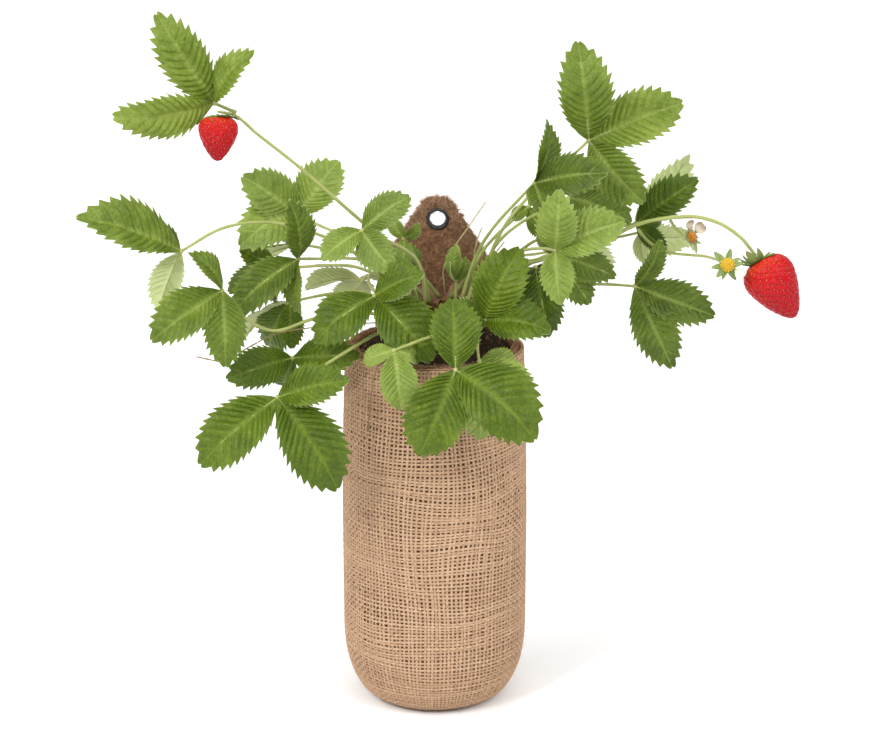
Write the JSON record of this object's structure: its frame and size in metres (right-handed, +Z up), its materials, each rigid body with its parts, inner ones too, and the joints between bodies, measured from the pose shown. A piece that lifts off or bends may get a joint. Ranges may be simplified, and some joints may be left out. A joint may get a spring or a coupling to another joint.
{
  "type": "potted strawberry plant",
  "caption": "Strawberry plant with ripe berries and flowers, growing in a round jute bag whose coir liner rises into a hanging tab with a metal eyelet.",
  "frame": {"origin": "centre of the bag's flat base", "axes": "+Z up, -Y the front, +X to the right seen from the front"},
  "size_m": [0.4538, 0.2197, 0.4567],
  "materials": {
    "jute": "coarse open weave",
    "coir": "pressed fibre",
    "dark_metal": "dark, worn",
    "soil": "moist potting mix",
    "crown": "rough",
    "leaf_light": "satin, veined",
    "leaf_mid": "satin, veined",
    "leaf_dark": "satin, veined",
    "stem": "hairy",
    "dry_stalk": "dry",
    "berry": "glossy, pitted",
    "sepal": "hairy",
    "petal": "soft",
    "dry_petal": "withered",
    "pollen": "powdery"
  },
  "bodies": {
    "root": {"jute_bag": "jute", "coir_liner": "coir", "hanging_eyelet": "dark_metal", "soil": "soil", "crown": "crown", "leaf_left_light": "leaf_light", "leaf_centre_light": "leaf_light", "leaf_right_light": "leaf_light", "leaf_right_middle": "leaf_light", "leaf_front_pale": "leaf_light", "leaf_front_hanging": "leaf_light", "leaf_young_centre": "leaf_light", "leaf_centre_small": "leaf_light", "leaf_young_left": "leaf_light", "leaf_left_top": "leaf_mid", "leaf_left_far": "leaf_mid", "leaf_left_outer": "leaf_mid", "leaf_left_inner": "leaf_mid", "leaf_left_behind": "leaf_mid", "leaf_right_top": "leaf_mid", "leaf_right_upper": "leaf_mid", "leaf_right_upper_back": "leaf_mid", "leaf_right_middle_back": "leaf_mid", "leaf_right_outer": "leaf_mid", "leaf_right_pale": "leaf_mid", "leaf_back_left": "leaf_mid", "leaf_back_far_left": "leaf_mid", "leaf_back_right": "leaf_mid", "leaf_back_far_right": "leaf_mid", "leaf_centre_dark": "leaf_dark", "leaf_front_centre": "leaf_dark", "leaf_front_upper": "leaf_dark", "leaf_right_hanging": "leaf_dark", "leaf_right_far": "leaf_dark", "leaf_left_low": "leaf_dark", "leaf_low_left_back": "leaf_dark", "leaf_low_left": "leaf_dark", "fruit_stem_left": "stem", "truss_stem_right": "stem", "flower_stalk_open": "stem", "flower_stalk_faded": "stem", "dry_stalk_front": "dry_stalk", "dry_stalk_left": "dry_stalk", "dry_stalk_tall": "dry_stalk", "dry_stalk_short": "dry_stalk", "dry_stalk_right": "dry_stalk", "berry_small": "berry", "berry_large": "berry", "calyx_small": "sepal", "calyx_large": "sepal", "flower_open_calyx": "sepal", "flower_open_centre": "pollen", "flower_open_petal": "petal", "flower_faded_calyx": "sepal", "flower_faded_centre": "pollen", "flower_faded_petal_1": "dry_petal", "flower_faded_petal_2": "dry_petal"}
  },
  "joints": []
}
